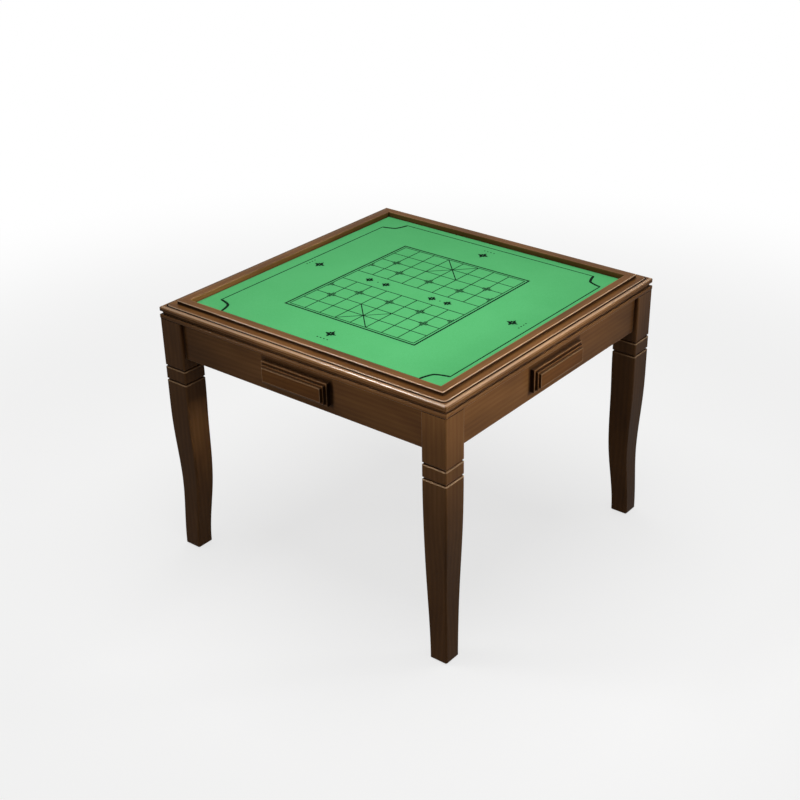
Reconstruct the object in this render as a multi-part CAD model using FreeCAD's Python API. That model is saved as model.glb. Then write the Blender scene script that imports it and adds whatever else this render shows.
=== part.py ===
"""Square game table with a moulded top, a sunk playing surface and a drawer in each side.

Millimetres, +Z up, the origin on the floor under the middle of the table. The front faces -Y.
Each piece is drawn once on the front side or at the front right corner, and the other three are
the same piece turned by quarter turns. A "reach" is a distance from the table's middle plane.
"""
import FreeCAD, Part
import math
import os

V = FreeCAD.Vector
SIDES = ["front", "right", "back", "left"]
CORNERS = ["front_right", "back_right", "back_left", "front_left"]

# Overall
table_width = 950.0
table_height = 760.0

# Top rails, from the inside out: raised rim, flat ledge, rounded nose
rim_width = 23.5
rim_rise = 10.0
rim_round = 2.5
rim_inner_round = 1.5
ledge_width = 21.0
ledge_round = 3.0
ledge_corner_round = 14.0
quirk_width = 2.5
quirk_depth = 4.0
nose_width = 14.0
nose_drop = 2.5
nose_rise = 6.0
nose_corner_round = 6.0
nose_crown_in = 4.7
nose_crown_drop = 1.2
nose_step = 1.5
band_height = 6.0
cove_depth = 6.0

# Playing board in a rabbet under the rim, and the printed baize that lines the well
surface_drop = 15.0
surface_thickness = 2.0
board_thickness = 18.0
rabbet_width = 8.0
board_clearance = 0.5
surface_clearance = 0.3

# Mitre splines across the top rails' corners
spline_thickness = 4.0
spline_length = 26.0
spline_width = 24.0

# Bead rails under the top, and the battens between them
bead_height = 12.0
bead_rail_width = 70.0
bead_round = 4.0
bead_corner_round = 4.0
batten_width = 30.0
batten_end_gap = 0.3

# Legs
leg_width = 74.0
leg_setback = 0.5
leg_corner_round = 5.0
foot_chamfer = 1.5
groove_depth = 4.7
groove_half_height = 4.5
groove_drop = 34.5
groove_spacing = 40.5
taper_start_drop = 12.0
knee_drop = 130.0
knee_outer_in = 0.5
knee_inner_in = 1.5
waist_height = 205.0
waist_outer_in = 7.5
waist_inner_in = 5.0
foot_outer_in = 2.0
foot_inner_in = 19.0

# Glides nailed under the feet
glide_radius = 13.0
glide_thickness = 3.0
glide_pin_radius = 2.0
glide_pin_length = 18.0

# Aprons
apron_height = 104.5
apron_thickness = 20.0
apron_setback = 12.0
apron_round = 1.5

# Corner blocks with hanger bolts, washers, nuts and screws
seat_chamfer = 16.0
block_thickness = 28.0
block_top_gap = 10.0
block_bottom_gap = 20.0
bolt_radius = 4.0
bolt_clearance = 0.5
bolt_in_leg = 36.0
bolt_spacing = 36.0
bolt_tail = 4.0
washer_radius = 10.0
washer_thickness = 1.6
nut_across_flats = 13.0
nut_height = 6.5
screw_radius = 2.0
screw_head_radius = 4.0
screw_head_height = 3.0
screw_length = 22.0
screw_seat_depth = 4.0
block_screw_inset = 12.0
block_screw_edge = 8.0
screw_seat_bore = 16.0
top_screw_count = 3
top_screw_spacing = 250.0
top_screw_length = 25.0

# Drawer fronts: a thick overlay board with a lip, a step and a raised flat panel, all rounded
drawer_drop = 50.0
front_width = 220.0
front_height = 63.0
lip_thickness = 12.0
lip_width = 6.0
lip_round = 1.8
step_rise = 7.0
step_width = 6.0
step_round = 1.8
panel_rise = 5.7
panel_round = 1.8
front_gap = 0.3

# Drawer boxes, hidden behind their fronts by the covers at the ends and at top and bottom
end_cover = 15.0
edge_cover = 8.5
side_thickness = 10.0
back_thickness = 12.0
bottom_thickness = 4.0
bottom_lift = 3.0
bottom_groove = 4.0
bottom_clearance = 0.2
peg_radius = 3.0
peg_length = 30.0
peg_proud = 14.0
peg_spacing = 120.0

# Drawer runners, the cross tie that stops the pegs and the rear stop
opening_clearance = 1.5
runner_side_gap = 1.0
runner_slide_gap = 0.3
runner_wall = 14.0
runner_ledge = 12.0
runner_ledge_thickness = 8.0
tie_thickness = 18.0
tie_lift = 4.0
length_kept_in = 100.0
travel_gap = 0.5
rear_stop_thickness = 12.0
core_gap = 41.0

# How far a cutting shape runs past the faces it cuts
overcut = 1.0

# Reaches worked out from the sizes above
top_reach = table_width / 2
ledge_reach = top_reach - nose_width
rim_reach = ledge_reach - ledge_width
well_reach = rim_reach - rim_width
rabbet_reach = well_reach + rabbet_width
board_reach = rabbet_reach - board_clearance
surface_reach = well_reach - surface_clearance
bead_inner_reach = top_reach - bead_rail_width
leg_outer = top_reach - leg_setback
leg_inner = leg_outer - leg_width
apron_outer = top_reach - apron_setback
apron_inner = apron_outer - apron_thickness

# Heights worked out from the sizes above
ledge_top = table_height - rim_rise
nose_top = ledge_top - nose_drop
band_top = nose_top - nose_rise
cove_top = band_top - nose_step - band_height
surface_top = table_height - surface_drop
board_top = surface_top - surface_thickness
top_bottom = board_top - board_thickness
bead_bottom = top_bottom - bead_height
apron_bottom = bead_bottom - apron_height
drawer_middle = bead_bottom - drawer_drop
upper_groove = apron_bottom - groove_drop
lower_groove = upper_groove - groove_spacing

# Corner block places: distances along the corner's diagonal, and its screws into the front apron
seat_s = (leg_inner + seat_chamfer / 2) * math.sqrt(2)
block_inner_s = seat_s - block_thickness
nut_seat_s = block_inner_s - washer_thickness
block_bottom = apron_bottom + block_bottom_gap
block_top = bead_bottom - block_top_gap
bolt_middle = (block_bottom + block_top) / 2
bolt_heights = (bolt_middle - bolt_spacing / 2, bolt_middle + bolt_spacing / 2)
block_face_sum = block_inner_s * math.sqrt(2)
block_screw_x = block_face_sum - apron_inner + block_screw_inset
block_screw_y = block_screw_x - block_face_sum - screw_seat_depth
block_screw_heights = (block_bottom + block_screw_edge, block_top - block_screw_edge)

# Drawer places on the front side, where -Y points out of the table
box_half = front_width / 2 - end_cover
runner_inner = box_half + runner_side_gap
runner_outer = runner_inner + runner_wall
rear_stop_y = -runner_outer - core_gap - rear_stop_thickness
front_back_y = -apron_outer - front_gap
box_back_y = rear_stop_y - runner_slide_gap
back_front_y = box_back_y - back_thickness
drawer_travel = box_back_y - front_back_y - length_kept_in
box_bottom = drawer_middle - front_height / 2 + edge_cover
box_top = drawer_middle + front_height / 2 - edge_cover
box_inner_half = box_half - side_thickness
tray_bottom = box_bottom + bottom_lift
tray_floor = tray_bottom + bottom_thickness
peg_y = (back_front_y + box_back_y) / 2
tie_back_y = peg_y - peg_radius - drawer_travel - travel_gap
tie_bottom = box_top + tie_lift
ledge_inner = box_half - runner_ledge
runner_ledge_top = box_bottom - runner_slide_gap
runner_bottom = runner_ledge_top - runner_ledge_thickness
batten_reach = (runner_inner + runner_outer) / 2

os.makedirs("parts", exist_ok=True)


def save(name, shape):
    """Writes one node, after a check that its solids are sound."""
    assert shape.isValid(), name
    shape.exportStep("parts/" + name + ".step")


def box(low, high):
    """A block between two opposite corners."""
    size = [high[i] - low[i] for i in range(3)]
    return Part.makeBox(size[0], size[1], size[2], V(*low))


def turned(shape, quarter):
    """The same piece on another side or corner, turned about the table's middle."""
    return shape.rotated(V(0, 0, 0), V(0, 0, 1), 90.0 * quarter)


def mirrored(shape):
    """The piece's twin on the other side of the table's left-right middle plane."""
    return shape.mirror(V(0, 0, 0), V(1, 0, 0))


def group(shapes):
    """Separate solids that share one node."""
    return Part.makeCompound(shapes)


def on_all_sides(shapes):
    """Each given piece on all four sides, as one group."""
    return group([turned(shape, quarter) for quarter in range(4) for shape in shapes])


def edges_at(shape, wanted):
    """The edges whose every end and middle point satisfies a test."""
    found = []
    for edge in shape.Edges:
        middle = edge.valueAt((edge.FirstParameter + edge.LastParameter) / 2)
        points = [vertex.Point for vertex in edge.Vertexes] + [middle]
        if all(wanted(point) for point in points):
            found.append(edge)
    return found


def near(value, target):
    return abs(value - target) < 0.01


def square_plate(reach, bottom, top, corner_round):
    """A square plate with rounded corners in plan, centred on the table."""
    plate = box((-reach, -reach, bottom), (reach, reach, top))
    if corner_round == 0:
        return plate
    upright = edges_at(plate, lambda p: near(abs(p.x), reach) and near(abs(p.y), reach))
    return plate.makeFillet(corner_round, upright)


def rounded_top(plate, top, radius):
    """Rounds the arris around a plate's top face."""
    return plate.makeFillet(radius, edges_at(plate, lambda p: near(p.z, top)))


def outline_face(start, steps):
    """A face in the plane of reach and height, on the front side.

    Each step is an end point, or a pair of a through point and an end point for an arc.
    """
    def place(point):
        return V(0, -point[0], point[1])

    edges = []
    here = start
    for step in steps + [start]:
        if isinstance(step[0], tuple):
            through, end = step
            edges.append(Part.Arc(place(here), place(through), place(end)).toShape())
        else:
            end = step
            edges.append(Part.LineSegment(place(here), place(end)).toShape())
        here = end
    return Part.Face(Part.Wire(edges))


def front_wedge(bottom, top):
    """The quarter of the table between the two front mitre planes."""
    far = table_width
    corners = [V(0, 0, bottom), V(-far, -far, bottom), V(far, -far, bottom), V(0, 0, bottom)]
    return Part.Face(Part.makePolygon(corners)).extrude(V(0, 0, top - bottom))


def moulding(face, corner_round, bottom, top):
    """A moulded strip along the front, mitred at both ends, its sharp corners eased in plan."""
    strip = face.extrude(V(table_width, 0, 0))
    strip.translate(V(-table_width / 2, 0, 0))
    eased = square_plate(top_reach, bottom, top, corner_round)
    return strip.common(eased).common(front_wedge(bottom, top))


def quarter_point(centre, radius, angle):
    """A point on an arc in the plane of reach and height."""
    turn = math.radians(angle)
    return (centre[0] + radius * math.cos(turn), centre[1] + radius * math.sin(turn))


def nose_face():
    """Nose section: a rounded top, a small step, a flat band and a cove under it."""
    band_reach = top_reach - nose_step
    cove_in = band_reach - cove_depth
    crown = (top_reach - nose_crown_in, nose_top - nose_crown_drop)
    belly = 1 - math.sqrt(0.5)
    cove_middle = (cove_in + cove_depth * belly, cove_top - (cove_top - top_bottom) * belly)
    return outline_face((rabbet_reach, top_bottom), [
        (cove_in, top_bottom),
        (cove_middle, (band_reach, cove_top)),
        (band_reach, band_top - nose_step),
        (top_reach, band_top),
        (crown, (ledge_reach, nose_top)),
        (rabbet_reach, nose_top),
    ])


def make_top_rail():
    """One side of the moulded frame: rim, ledge and nose worked on one board, mitred at the ends."""
    rim = square_plate(rim_reach, top_bottom, table_height, rim_round)
    rim = rounded_top(rim, table_height, rim_round)
    ledge = square_plate(ledge_reach, top_bottom, ledge_top, ledge_corner_round)
    ledge = rounded_top(ledge, ledge_top, ledge_round)
    body = rim.fuse(ledge).common(front_wedge(top_bottom, table_height))
    quirk_reach = ledge_reach + quirk_width
    quirk_round = ledge_corner_round + quirk_width
    quirk = square_plate(quirk_reach, nose_top - quirk_depth, table_height, quirk_round)
    nose = moulding(nose_face(), nose_corner_round, top_bottom, nose_top).cut(quirk)
    well = square_plate(well_reach, top_bottom, table_height, 0)
    rabbet = square_plate(rabbet_reach, top_bottom, board_top, 0)
    rail = body.fuse(nose).cut(well.fuse(rabbet)).removeSplitter()
    arris = edges_at(rail, lambda p: near(p.z, table_height) and near(p.y, -well_reach))
    return rail.makeFillet(rim_inner_round, arris)


def make_bead_rail():
    """One side of the moulding under the top, which is also the frame that carries the board."""
    bead_back = top_reach - bead_round
    top_arc = quarter_point((bead_back, top_bottom - bead_round), bead_round, 45)
    low_arc = quarter_point((bead_back, bead_bottom + bead_round), bead_round, -45)
    face = outline_face((bead_inner_reach, bead_bottom), [
        (bead_back, bead_bottom),
        (low_arc, (top_reach, bead_bottom + bead_round)),
        (top_reach, top_bottom - bead_round),
        (top_arc, (bead_back, top_bottom)),
        (bead_inner_reach, top_bottom),
    ])
    return moulding(face, bead_corner_round, bead_bottom, top_bottom)


def diagonal_box(near_s, far_s, half_width, bottom, top):
    """A block across the front right corner, between two distances along its diagonal."""
    block = box((near_s, -half_width, bottom), (far_s, half_width, top))
    return block.rotated(V(0, 0, 0), V(0, 0, 1), -45.0)


def diagonal_rod(radius, near_s, far_s, height):
    """A round rod along the front right corner's diagonal."""
    rod = Part.makeCylinder(radius, far_s - near_s, V(near_s, 0, height), V(1, 0, 0))
    return rod.rotated(V(0, 0, 0), V(0, 0, 1), -45.0)


def make_spline():
    """A flat key let into both rails across the mitre."""
    middle_s = (rabbet_reach + top_reach) / 2 * math.sqrt(2)
    bottom = (top_bottom + board_top) / 2 - spline_thickness / 2
    near_s = middle_s - spline_length / 2
    return diagonal_box(near_s, near_s + spline_length, spline_width / 2, bottom,
                        bottom + spline_thickness)


def make_battens():
    """Two battens each way under the board, halved together where they cross."""
    end = bead_inner_reach - batten_end_gap
    inner = batten_reach - batten_width / 2
    outer = batten_reach + batten_width / 2
    middle = (top_bottom + bead_bottom) / 2
    along = box((inner, -end, bead_bottom), (outer, end, top_bottom))
    for low in (-outer, inner):
        notch = box((inner, low, bead_bottom), (outer, low + batten_width, middle))
        along = along.cut(notch)
    across = box((-end, inner, bead_bottom), (end, outer, top_bottom))
    for low in (-outer, inner):
        notch = box((low, inner, middle), (low + batten_width, outer, top_bottom))
        across = across.cut(notch)
    return group([along, turned(along, 2), across, turned(across, 2)])


def leg_profile():
    """Leg outline in reach and height: straight block, then an eased taper on both edges."""
    straight = lower_groove - groove_half_height - taper_start_drop
    knee = lower_groove - knee_drop
    down = V(0, 0, -1)

    def edge(reach, inward, knee_in, waist_in, foot_in):
        points = [
            V(0, -reach, straight),
            V(0, -(reach + inward * knee_in), knee),
            V(0, -(reach + inward * waist_in), waist_height),
            V(0, -(reach + inward * foot_in), glide_thickness),
        ]
        curve = Part.BSplineCurve()
        curve.interpolate(Points=points, InitialTangent=down, FinalTangent=down)
        return points, curve.toShape()

    outer_points, outer_curve = edge(leg_outer, -1, knee_outer_in, waist_outer_in, foot_outer_in)
    inner_points, inner_curve = edge(leg_inner, 1, knee_inner_in, waist_inner_in, foot_inner_in)
    outer_top = V(0, -leg_outer, bead_bottom)
    inner_top = V(0, -leg_inner, bead_bottom)
    edges = [
        outer_curve,
        Part.LineSegment(outer_points[-1], inner_points[-1]).toShape(),
        inner_curve,
        Part.LineSegment(inner_points[0], inner_top).toShape(),
        Part.LineSegment(inner_top, outer_top).toShape(),
        Part.LineSegment(outer_top, outer_points[0]).toShape(),
    ]
    return Part.Face(Part.Wire(Part.__sortEdges__(edges)))


def groove_cutters(height):
    """Four V-shaped prisms that cut one groove round the front right leg."""
    middle = (leg_outer + leg_inner) / 2
    root = leg_width / 2 - groove_depth
    mouth = leg_width / 2 + overcut
    rise = (mouth - root) * groove_half_height / groove_depth
    corners = [V(root, -mouth, 0), V(mouth, -mouth, rise), V(mouth, -mouth, -rise), V(root, -mouth, 0)]
    cutter = Part.Face(Part.makePolygon(corners)).extrude(V(0, 2 * mouth, 0))
    cutters = [turned(cutter, quarter) for quarter in range(4)]
    for shape in cutters:
        shape.translate(V(middle, -middle, height))
    return cutters


def make_leg():
    """Front right leg: the outline sawn from two faces, arrises rounded, two V-grooves cut round."""
    profile = leg_profile()
    along_x = profile.extrude(V(table_width, 0, 0))
    leg = along_x.common(turned(profile, 1).extrude(V(0, -table_width, 0)))
    sides = [edge for edge in leg.Edges if abs(edge.tangentAt(edge.FirstParameter).z) > 0.9]
    leg = leg.makeFillet(leg_corner_round, sides)
    foot_edges = edges_at(leg, lambda p: near(p.z, glide_thickness))
    leg = leg.makeChamfer(foot_chamfer, foot_edges)
    for height in (upper_groove, lower_groove):
        leg = leg.cut(groove_cutters(height))
    seat = diagonal_box(seat_s - seat_chamfer, seat_s, leg_width, block_bottom, bead_bottom)
    leg = leg.cut(seat)
    for height in bolt_heights:
        leg = leg.cut(diagonal_rod(bolt_radius, seat_s - overcut, seat_s + bolt_in_leg, height))
    pin = Part.makeCylinder(glide_pin_radius, glide_pin_length, foot_centre())
    return leg.cut(pin)


def foot_centre():
    """The middle of the front right foot, at the top of its glide."""
    middle = (leg_outer - foot_outer_in + leg_inner + foot_inner_in) / 2
    return V(middle, -middle, glide_thickness)


def make_glide():
    """A round glide with its nail."""
    centre = foot_centre()
    pad = Part.makeCylinder(glide_radius, glide_thickness, V(centre.x, centre.y, 0))
    return pad.fuse(Part.makeCylinder(glide_pin_radius, glide_pin_length, centre))


def make_apron():
    """Front apron with its drawer opening, square to the legs it stands between."""
    board = box((-leg_inner, -apron_outer, apron_bottom), (leg_inner, -apron_inner, bead_bottom))
    arris = edges_at(board, lambda p: near(p.y, -apron_outer) and near(p.z, apron_bottom))
    board = board.makeFillet(apron_round, arris)
    half = box_half + opening_clearance
    low = (-half, -apron_outer - overcut, box_bottom - opening_clearance)
    return board.cut(box(low, (half, -apron_inner + overcut, box_top + opening_clearance)))


def make_corner_block():
    """A block across the corner between the two aprons, drilled for bolts and screws."""
    block = diagonal_box(block_inner_s, seat_s, top_reach, block_bottom, block_top)
    block = block.common(square_plate(apron_inner, block_bottom, block_top, 0))
    for height in bolt_heights:
        hole = diagonal_rod(bolt_radius + bolt_clearance, block_inner_s - overcut,
                            seat_s + overcut, height)
        block = block.cut(hole)
    return block.cut(block_screws() + block_screw_seats())


def swapped(shape):
    """The twin of a piece on the other side of the front right corner's diagonal."""
    return shape.mirror(V(0, 0, 0), V(1, 1, 0))


def block_screws():
    """Four screws per corner block, two into each apron."""
    screws = []
    for height in block_screw_heights:
        top = V(block_screw_x, block_screw_y, height)
        head = Part.makeCylinder(screw_head_radius, screw_head_height, top, V(0, -1, 0))
        screw = head.fuse(Part.makeCylinder(screw_radius, screw_length, top, V(0, -1, 0)))
        screws.append(screw)
        screws.append(swapped(screw))
    return screws


def block_screw_seats():
    """The bores that let the screw heads in below the block's slanting face."""
    seats = []
    for height in block_screw_heights:
        top = V(block_screw_x, block_screw_y, height)
        seat = Part.makeCylinder(screw_head_radius, screw_seat_bore, top, V(0, 1, 0))
        seats.append(seat)
        seats.append(swapped(seat))
    return seats


def make_bolts():
    """Hanger bolts: one end in the leg, the other through the corner block to its nut."""
    tail_s = nut_seat_s - nut_height - bolt_tail
    return [diagonal_rod(bolt_radius, tail_s, seat_s + bolt_in_leg, height)
            for height in bolt_heights]


def make_washers():
    bolts = make_bolts()
    return [diagonal_rod(washer_radius, nut_seat_s, block_inner_s, height).cut(bolts)
            for height in bolt_heights]


def make_nuts():
    """Hexagon nuts that pull the leg against its corner block."""
    radius = nut_across_flats / math.sqrt(3)
    nuts = []
    for height in bolt_heights:
        corners = [V(nut_seat_s - nut_height, radius * math.cos(math.radians(60 * i)),
                     height + radius * math.sin(math.radians(60 * i))) for i in range(7)]
        prism = Part.Face(Part.makePolygon(corners)).extrude(V(nut_height, 0, 0))
        nuts.append(prism.rotated(V(0, 0, 0), V(0, 0, 1), -45.0).cut(make_bolts()))
    return nuts


def make_top_screws():
    """The front side's screws up through the bead rail into the top rail."""
    reach = (rabbet_reach + apron_inner) / 2
    first = -top_screw_spacing * (top_screw_count - 1) / 2
    screws = []
    for number in range(top_screw_count):
        place = V(first + number * top_screw_spacing, -reach, bead_bottom)
        head = Part.makeCylinder(screw_head_radius, screw_head_height, place)
        shank = Part.makeCylinder(screw_radius, top_screw_length, place)
        screws.append(head.fuse(shank))
    return screws


def front_board(half_width, half_height, back_y, front_y):
    return box((-half_width, front_y, drawer_middle - half_height),
               (half_width, back_y, drawer_middle + half_height))


def rounded_front(board, front_y, radius):
    return board.makeFillet(radius, edges_at(board, lambda p: near(p.y, front_y)))


def make_drawer_front():
    """Overlay front: the lip, the step on it and the raised flat panel, each one smaller."""
    half_width = front_width / 2
    half_height = front_height / 2
    lip_y = front_back_y - lip_thickness
    step_y = lip_y - step_rise
    panel_y = step_y - panel_rise
    panel_in = lip_width + step_width
    lip = rounded_front(front_board(half_width, half_height, front_back_y, lip_y), lip_y, lip_round)
    step = front_board(half_width - lip_width, half_height - lip_width, front_back_y, step_y)
    step = rounded_front(step, step_y, step_round)
    panel = front_board(half_width - panel_in, half_height - panel_in, front_back_y, panel_y)
    panel = rounded_front(panel, panel_y, panel_round)
    return lip.fuse(step).fuse(panel).removeSplitter()


def make_drawer_side():
    """The drawer side at +X, grooved for the bottom."""
    side = box((box_inner_half, front_back_y, box_bottom), (box_half, box_back_y, box_top))
    groove = box((box_inner_half - overcut, front_back_y, tray_bottom),
                 (box_inner_half + bottom_groove, box_back_y, tray_floor))
    return side.cut(groove)


def make_drawer_bottom():
    half = box_inner_half + bottom_groove - bottom_clearance
    return box((-half, front_back_y, tray_bottom), (half, box_back_y, tray_floor))


def peg_places():
    return (-peg_spacing / 2, peg_spacing / 2)


def make_pegs():
    """Two dowels that stand up from the back and meet the cross tie at full travel."""
    bottom = box_top + peg_proud - peg_length
    return [Part.makeCylinder(peg_radius, peg_length, V(x, peg_y, bottom)) for x in peg_places()]


def make_drawer_back():
    """The back stands on the bottom between the sides, bored for the pegs."""
    back = box((-box_inner_half, back_front_y, tray_floor), (box_inner_half, box_back_y, box_top))
    return back.cut(group(make_pegs()))


def make_runner():
    """The runner at +X: a wall hung under the top with a ledge that the drawer side slides on."""
    wall = box((runner_inner, -apron_inner, runner_bottom), (runner_outer, rear_stop_y, bead_bottom))
    ledge = box((ledge_inner, -apron_inner, runner_bottom),
                (runner_outer, rear_stop_y, runner_ledge_top))
    return wall.fuse(ledge).removeSplitter()


def make_cross_tie():
    """Keeps the runners apart at the front, above the drawer, and stops its pegs."""
    return box((-runner_inner, tie_back_y - tie_thickness, tie_bottom),
               (runner_inner, tie_back_y, bead_bottom))


def make_rear_stop():
    """Closes the runners' rear ends and stops the drawer when it is shut."""
    return box((-runner_outer, rear_stop_y, runner_bottom),
               (runner_outer, rear_stop_y + rear_stop_thickness, bead_bottom))


# Top
spline = make_spline()
top_rail = make_top_rail().cut(spline).cut(turned(spline, 3))
top_screws = make_top_screws()
top_rail = top_rail.cut(group(top_screws))
bead_rail = make_bead_rail().cut(group(top_screws))
for quarter, side in enumerate(SIDES):
    save("top_rail_" + side, turned(top_rail, quarter))
    save("bead_rail_" + side, turned(bead_rail, quarter))
save("mitre_splines", on_all_sides([spline]))
save("play_board", square_plate(board_reach, top_bottom, board_top, 0))
save("play_surface", square_plate(surface_reach, board_top, surface_top, 0))
save("board_battens", make_battens())
save("top_screws", on_all_sides(top_screws))

# Base
leg = make_leg()
apron = make_apron()
screws = block_screws()
apron = apron.cut(group(screws + [mirrored(screw) for screw in screws]))
corner_block = make_corner_block()
for quarter, corner in enumerate(CORNERS):
    save("leg_" + corner, turned(leg, quarter))
    save("corner_block_" + corner, turned(corner_block, quarter))
for quarter, side in enumerate(SIDES):
    save("apron_" + side, turned(apron, quarter))
save("corner_screws", on_all_sides(screws))
save("hanger_bolts", on_all_sides(make_bolts()))
save("bolt_washers", on_all_sides(make_washers()))
save("bolt_nuts", on_all_sides(make_nuts()))
save("foot_glides", on_all_sides([make_glide()]))

# Drawers and what they run on
drawer_side = make_drawer_side()
runner = make_runner()
drawer_pieces = {
    "front": make_drawer_front(),
    "right_side": drawer_side,
    "left_side": mirrored(drawer_side),
    "back": make_drawer_back(),
    "bottom": make_drawer_bottom(),
    "stop_pegs": group(make_pegs()),
}
for quarter, side in enumerate(SIDES):
    for piece, shape in drawer_pieces.items():
        save("drawer_" + side + "_" + piece, turned(shape, quarter))
    save("drawer_runners_" + side, turned(group([runner, mirrored(runner)]), quarter))
save("runner_cross_ties", on_all_sides([make_cross_tie()]))
save("runner_rear_stops", on_all_sides([make_rear_stop()]))
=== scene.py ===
"""Looks of the square game table: finishes, baize with its print, fixings, floor, light and camera.

Metres, +Z up, the origin on the floor under the middle of the table. The front faces -Y.
"""
import math

import bmesh
import bpy
import numpy as np
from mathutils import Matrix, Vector


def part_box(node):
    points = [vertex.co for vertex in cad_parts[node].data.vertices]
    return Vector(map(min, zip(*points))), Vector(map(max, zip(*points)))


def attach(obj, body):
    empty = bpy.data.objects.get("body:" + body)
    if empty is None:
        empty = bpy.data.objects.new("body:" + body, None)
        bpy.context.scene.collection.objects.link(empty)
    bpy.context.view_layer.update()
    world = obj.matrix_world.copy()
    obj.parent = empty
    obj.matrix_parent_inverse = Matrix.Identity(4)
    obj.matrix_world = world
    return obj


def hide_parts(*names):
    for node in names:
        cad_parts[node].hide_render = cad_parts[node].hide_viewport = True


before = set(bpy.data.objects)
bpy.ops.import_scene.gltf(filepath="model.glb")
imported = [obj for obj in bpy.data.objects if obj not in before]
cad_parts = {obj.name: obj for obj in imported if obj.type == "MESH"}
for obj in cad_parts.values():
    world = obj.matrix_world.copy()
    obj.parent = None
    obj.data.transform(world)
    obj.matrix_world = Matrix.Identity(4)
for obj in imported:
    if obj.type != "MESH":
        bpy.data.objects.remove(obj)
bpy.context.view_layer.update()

# ---------------------------------------------------------------------------------------------
# Legs: solid rubberwood, sawn to a taper, grooved twice and sprayed with a walnut stain and a
# satin nitrocellulose lacquer. The stain gathers in the grain. Arrises show as paler lines, partly
# stain rubbed thin and partly painted highlight, and grooves and inner corners are darkened with
# painted shade.
mm = 0.001
corners = ("front_right", "back_right", "back_left", "front_left")
grain_turns = {"x": (0, 0, 0), "y": (0, 0, -math.pi / 2), "z": (0, math.pi / 2, 0)}
stain_dark = "#472b15"
stain_middle = "#6b4725"
stain_light = "#845c36"
# pale colour of worn arrises, also painted highlight along them
wear_and_highlight_pale = "#dcb48a"
# dark colour of painted shade in grooves, inner corners and along dark lines
painted_shade_colour = "#1c1008"
stained_shares = (0.08, -0.02, 0.3, 0.6)    # of rings, their start, streaks and blotches
shade_stops = (0.13, 0.49, 0.81)
wave_period = 0.314         # of a wave texture at scale 1
ring_spacing = 11 * mm
ring_stretch = 1 / 18       # rings run out along the board, eighteen times as long as wide
streak_length = 70 * mm
streak_width = 1.5 * mm     # real pores are under 0.3 mm; drawn five times as coarse, to show
blotch_size = 70 * mm
blotch_stretch = 0.3
arris_round = 1.0 * mm
# pale arris lines, partly wear and partly painted highlight: their strength and reach
arris_wear_and_highlight = (0.12, 0.30)   # least and most, uneven along an arris
arris_reach = 4.5 * mm
# painted shade in grooves and inner corners: its reach and strength
corner_shade_reach = 9 * mm
corner_shade_strength = 0.85
pore_depth = 0.12 * mm
satin_roughness = (0.30, 0.42)
coat_roughness = 0.12
leg_top = 713 * mm
# the lower lip of each groove is turned up, and carries a pale line, partly painted highlight and
# partly wear: height, half width and strength of the line
groove_lip_highlights = ((570.0 * mm, 1.3 * mm, 0.6), (529.5 * mm, 1.3 * mm, 0.6))


def linear(colour):
    """sRGB hex turned to linear red, green, blue and alpha."""
    parts = np.array([int(colour[i:i + 2], 16) for i in (1, 3, 5)]) / 255
    return (*np.where(parts <= 0.04045, parts / 12.92, ((parts + 0.055) / 1.055) ** 2.4), 1.0)


def set_node(node, settings=(), links=()):
    """Gives a node its settings, by property name or socket name or number, and its links. A
    colour ramp's stops are pairs of a place and a hex colour, from low to high."""
    for name, value in dict(settings).items():
        if name == "stops":
            elements = node.color_ramp.elements
            for index, (place, colour) in enumerate(value):
                element = elements[index] if index < 2 else elements.new(place)
                element.position, element.color = place, linear(colour)
        elif isinstance(name, int) or name in node.inputs:
            node.inputs[name].default_value = value
        else:
            setattr(node, name, value)
    for name, source in dict(links).items():
        node.id_data.links.new(source, node.inputs[name])
    return node


def add(tree, kind, settings=(), links=()):
    """A new node with its settings and links."""
    return set_node(tree.nodes.new("ShaderNode" + kind), settings, links)


def new_material(name):
    """A material with an empty shader and its output, and the shader's tree."""
    material = bpy.data.materials.new(name)
    material.use_nodes = True
    tree = material.node_tree
    tree.nodes.clear()
    shader = add(tree, "BsdfPrincipled")
    add(tree, "OutputMaterial", links={"Surface": shader.outputs["BSDF"]})
    return material, tree, shader


def grain_coordinates(tree, grain):
    """Object coordinates turned so that the board's length runs along the pattern's X."""
    place = add(tree, "TexCoord").outputs["Object"]
    return add(tree, "Mapping", {"Rotation": grain_turns[grain]}, {"Vector": place}).outputs[0]


def wood_figure(tree, along, shares):
    """A board's figure: rings and fine streaks, stretched along it, each times its share. With
    blotches times theirs, that is its shade. Gives the figure, the shade, the blotches and the
    streaks."""
    patterns = []
    for kind, scale, settings in (
            ("TexWave", (ring_stretch, 1, 1),
             {"wave_type": "RINGS", "rings_direction": "X", "Scale": wave_period / ring_spacing,
              "Distortion": 9.0, "Detail": 3.0, "Detail Scale": 0.22}),
            ("TexNoise", (1 / streak_length, 1 / streak_width, 1 / streak_width),
             {"Scale": 1.0, "Detail": 3.0, "Roughness": 0.62}),
            ("TexNoise", (blotch_stretch / blotch_size, 1 / blotch_size, 1 / blotch_size),
             {"Scale": 1.0, "Detail": 2.0})):
        stretched = add(tree, "Mapping", {"Scale": scale}, {"Vector": along})
        patterns.append(add(tree, kind, settings, {"Vector": stretched.outputs[0]}).outputs["Fac"])
    rings, streaks, blotches = patterns
    ring_share, ring_start, streak_share, blotch_share = shares
    ring_part = add(tree, "Math", {"operation": "MULTIPLY_ADD", 1: ring_share, 2: ring_start},
                    {0: rings})
    figure = add(tree, "Math", {"operation": "MULTIPLY_ADD", 1: streak_share},
                 {0: streaks, 2: ring_part.outputs[0]})
    shade = add(tree, "Math", {"operation": "MULTIPLY_ADD", 1: blotch_share},
                {0: blotches, 2: figure.outputs[0]})
    return figure.outputs[0], shade.outputs[0], blotches, streaks


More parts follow.
